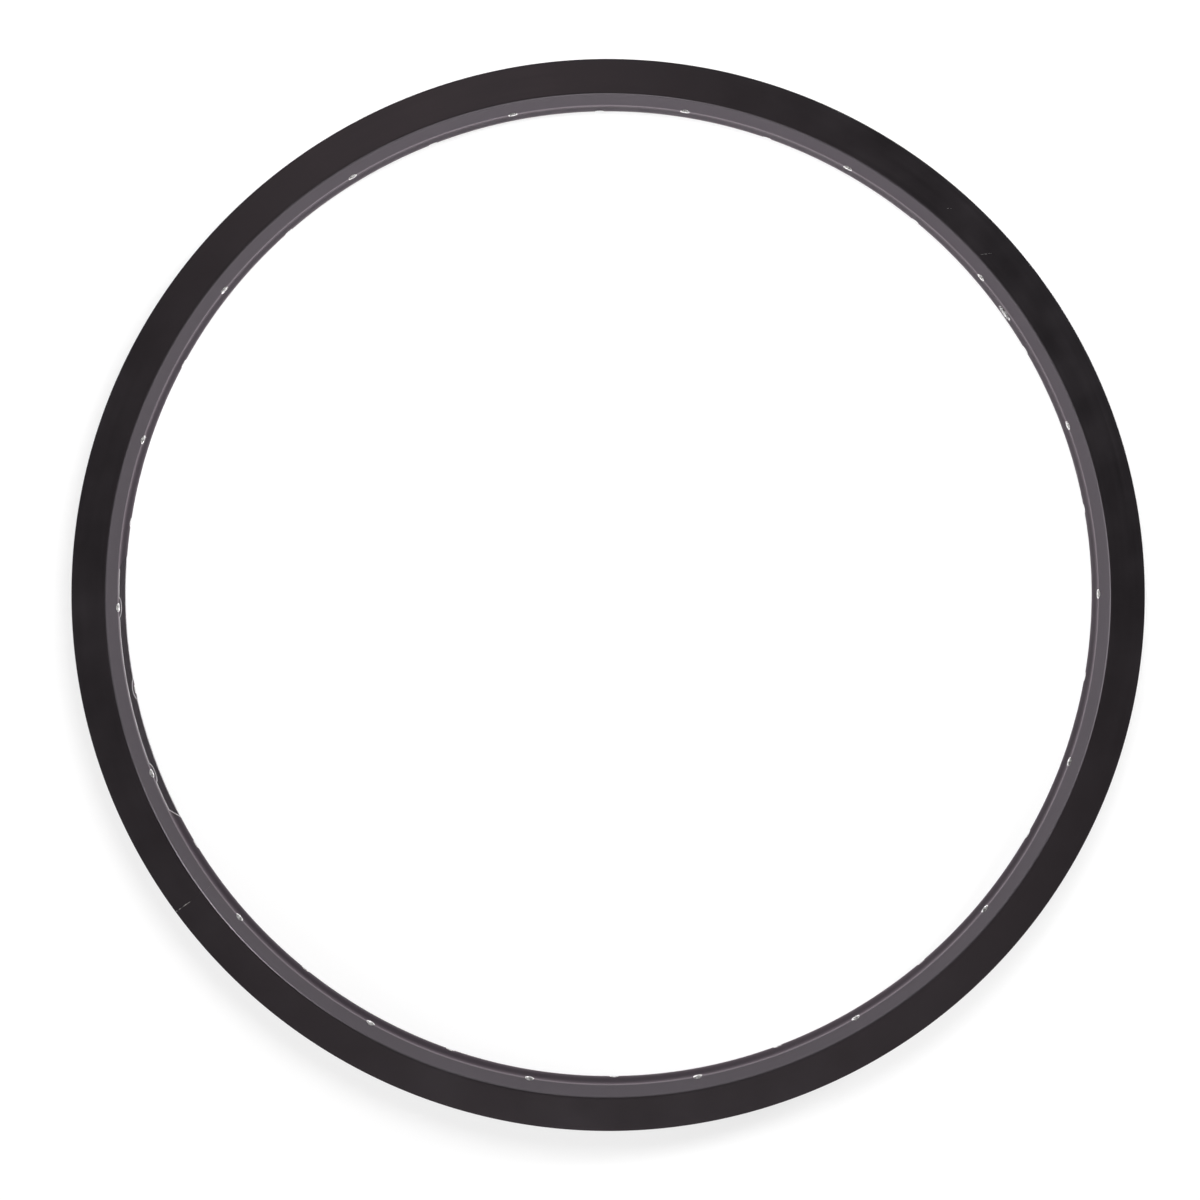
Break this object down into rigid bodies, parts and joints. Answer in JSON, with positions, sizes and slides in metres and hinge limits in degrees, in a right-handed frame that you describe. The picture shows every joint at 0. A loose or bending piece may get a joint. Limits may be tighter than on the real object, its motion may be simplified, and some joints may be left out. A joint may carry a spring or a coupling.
{
  "type": "bicycle rim",
  "caption": "Bare double-wall bicycle rim: a rolled, drilled aluminium hoop with hooked tyre flanges, a drop-centre channel, two rows of spoke holes and a valve hole.",
  "frame": {"origin": "centre of the hoop, where its axis meets its mid-plane", "axes": "+Z along the hoop's axis, out of the side that faces up; +X towards the valve hole"},
  "size_m": [0.572, 0.5718, 0.036],
  "materials": {
    "black_anodised": "satin black anodised",
    "mill_aluminium": "as extruded"
  },
  "bodies": {
    "root": {"rim_hoop": "black_anodised", "joint_sleeve": "mill_aluminium"}
  },
  "joints": []
}
